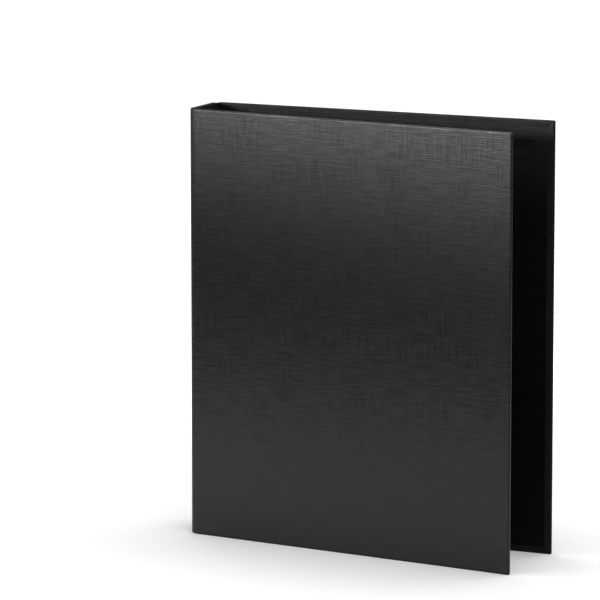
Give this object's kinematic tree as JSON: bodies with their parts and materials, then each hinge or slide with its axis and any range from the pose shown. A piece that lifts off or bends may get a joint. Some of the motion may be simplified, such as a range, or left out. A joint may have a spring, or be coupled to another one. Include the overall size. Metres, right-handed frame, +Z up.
{
  "type": "ring binder",
  "caption": "Upright ring binder with two board covers hinged to a spine, covered in linen-embossed paper, and a snap-open D-ring mechanism riveted inside the back cover.",
  "frame": {"origin": "centre of the bounding box on the surface that the binder stands on", "axes": "+Z up along the spine, -X towards the spine, +X towards the fore edges, +Y towards the outside of the back cover"},
  "size_m": [0.269, 0.0798, 0.315],
  "materials": {
    "covering": "linen-embossed coated covering paper, satin",
    "lining": "smooth matt lining paper",
    "board": "grey board",
    "plated_steel": "bright nickel plate",
    "blade_steel": "zinc-plated spring steel"
  },
  "bodies": {
    "spine": {"spine_board": "board", "spine_covering": "covering", "spine_lining": "lining", "front_hinge_covering": "covering", "front_hinge_lining": "lining", "back_hinge_covering": "covering", "back_hinge_lining": "lining"},
    "front_cover": {"front_board": "board", "front_covering": "covering", "front_lining": "lining"},
    "back_cover": {"back_board": "board", "back_covering": "covering", "back_lining": "lining", "ring_housing": "plated_steel", "housing_rivets": "plated_steel", "lever_pins": "plated_steel"},
    "spine_side_rings": {"spine_side_blade": "blade_steel", "ring_hook_1": "plated_steel", "ring_hook_2": "plated_steel", "ring_hook_3": "plated_steel", "ring_hook_4": "plated_steel"},
    "fore_side_rings": {"fore_side_blade": "blade_steel", "ring_post_1": "plated_steel", "ring_post_2": "plated_steel", "ring_post_3": "plated_steel", "ring_post_4": "plated_steel"},
    "top_lever": {"top_lever": "plated_steel"},
    "bottom_lever": {"bottom_lever": "plated_steel"}
  },
  "joints": [
    {"name": "front_cover_hinge", "type": "hinge", "parent": "spine", "child": "front_cover", "pos_m": [-0.13311, -0.0059, 0.1575], "axis": [0, 0, -1], "range_deg": [-7, 173], "deforming": ["front_hinge_covering", "front_hinge_lining"]},
    {"name": "back_cover_hinge", "type": "hinge", "parent": "spine", "child": "back_cover", "pos_m": [-0.13311, 0.03731, 0.1575], "axis": [0, 0, 1], "range_deg": [0, 180], "deforming": ["back_hinge_covering", "back_hinge_lining"]},
    {"name": "spine_side_blade_hinge", "type": "hinge", "parent": "back_cover", "child": "spine_side_rings", "pos_m": [-0.1029, 0.0336, 0.1575], "axis": [0, 0, -1], "range_deg": [0, 18]},
    {"name": "fore_side_blade_hinge", "type": "hinge", "parent": "back_cover", "child": "fore_side_rings", "pos_m": [-0.0861, 0.0336, 0.1575], "axis": [0, 0, 1], "range_deg": [0, 18]},
    {"name": "top_lever_pivot", "type": "hinge", "parent": "back_cover", "child": "top_lever", "pos_m": [-0.0945, 0.0326, 0.2935], "axis": [-1, 0, 0], "range_deg": [0, 24]},
    {"name": "bottom_lever_pivot", "type": "hinge", "parent": "back_cover", "child": "bottom_lever", "pos_m": [-0.0945, 0.0326, 0.0215], "axis": [1, 0, 0], "range_deg": [0, 24]}
  ],
  "couplings": [
    {"joint": "fore_side_blade_hinge", "follows": "spine_side_blade_hinge", "ratio": 1},
    {"joint": "top_lever_pivot", "follows": "spine_side_blade_hinge", "ratio": 1.3333},
    {"joint": "bottom_lever_pivot", "follows": "spine_side_blade_hinge", "ratio": 1.3333}
  ]
}
